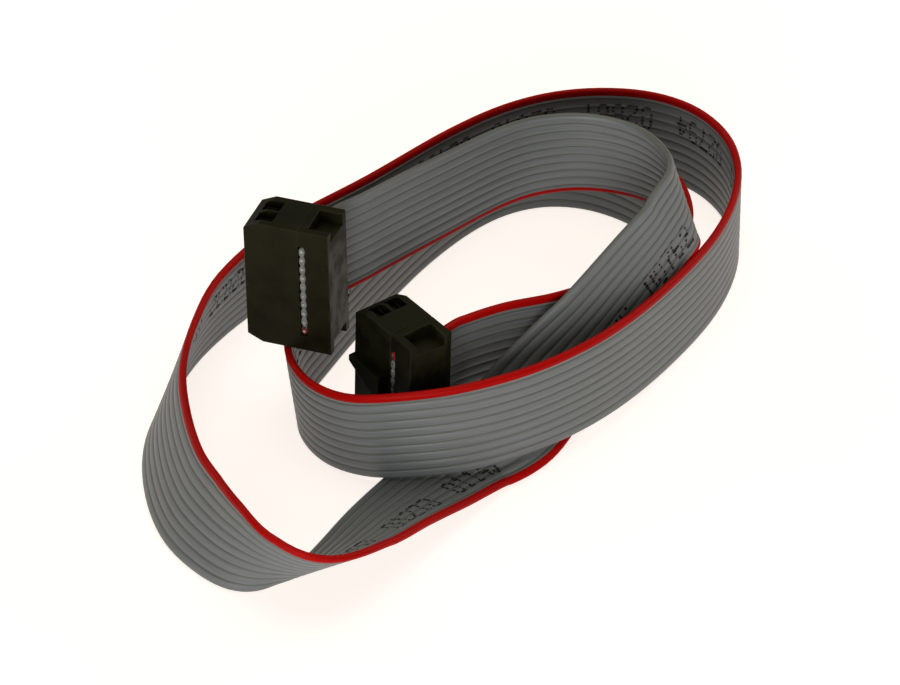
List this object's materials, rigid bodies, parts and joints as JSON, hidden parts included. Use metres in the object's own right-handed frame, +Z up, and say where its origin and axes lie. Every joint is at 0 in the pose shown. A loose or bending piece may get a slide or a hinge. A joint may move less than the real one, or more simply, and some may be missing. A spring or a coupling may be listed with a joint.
{
  "type": "ribbon cable",
  "caption": "Grey flat ribbon cable with a red edge wire, coiled in a loose double loop, with a black two-row socket crimped on each end.",
  "frame": {"origin": "on the surface that the cable lies on, under the middle of the box round the whole cable", "axes": "+Z up; X to the right and Y to the back as the cable is seen from its front"},
  "size_m": [0.0722, 0.0904, 0.03],
  "materials": {
    "pvc_grey": "semi-matt flexible PVC, grey with a red stripe over the first wire",
    "tinned_copper": "bundle of tinned copper strands",
    "tinned_bronze": "tin-plated phosphor bronze sheet",
    "black_plastic": "fine-grained black glass-filled polyester"
  },
  "bodies": {
    "root": {"ribbon_jacket": "pvc_grey", "conductor_1": "tinned_copper", "conductor_2": "tinned_copper", "conductor_3": "tinned_copper", "conductor_4": "tinned_copper", "conductor_5": "tinned_copper", "conductor_6": "tinned_copper", "conductor_7": "tinned_copper", "conductor_8": "tinned_copper", "conductor_9": "tinned_copper", "conductor_10": "tinned_copper", "socket_a_body": "black_plastic", "socket_a_cover": "black_plastic", "socket_a_contact_1": "tinned_bronze", "socket_a_contact_2": "tinned_bronze", "socket_a_contact_3": "tinned_bronze", "socket_a_contact_4": "tinned_bronze", "socket_a_contact_5": "tinned_bronze", "socket_a_contact_6": "tinned_bronze", "socket_a_contact_7": "tinned_bronze", "socket_a_contact_8": "tinned_bronze", "socket_a_contact_9": "tinned_bronze", "socket_a_contact_10": "tinned_bronze", "socket_b_body": "black_plastic", "socket_b_cover": "black_plastic", "socket_b_contact_1": "tinned_bronze", "socket_b_contact_2": "tinned_bronze", "socket_b_contact_3": "tinned_bronze", "socket_b_contact_4": "tinned_bronze", "socket_b_contact_5": "tinned_bronze", "socket_b_contact_6": "tinned_bronze", "socket_b_contact_7": "tinned_bronze", "socket_b_contact_8": "tinned_bronze", "socket_b_contact_9": "tinned_bronze", "socket_b_contact_10": "tinned_bronze"}
  },
  "joints": []
}
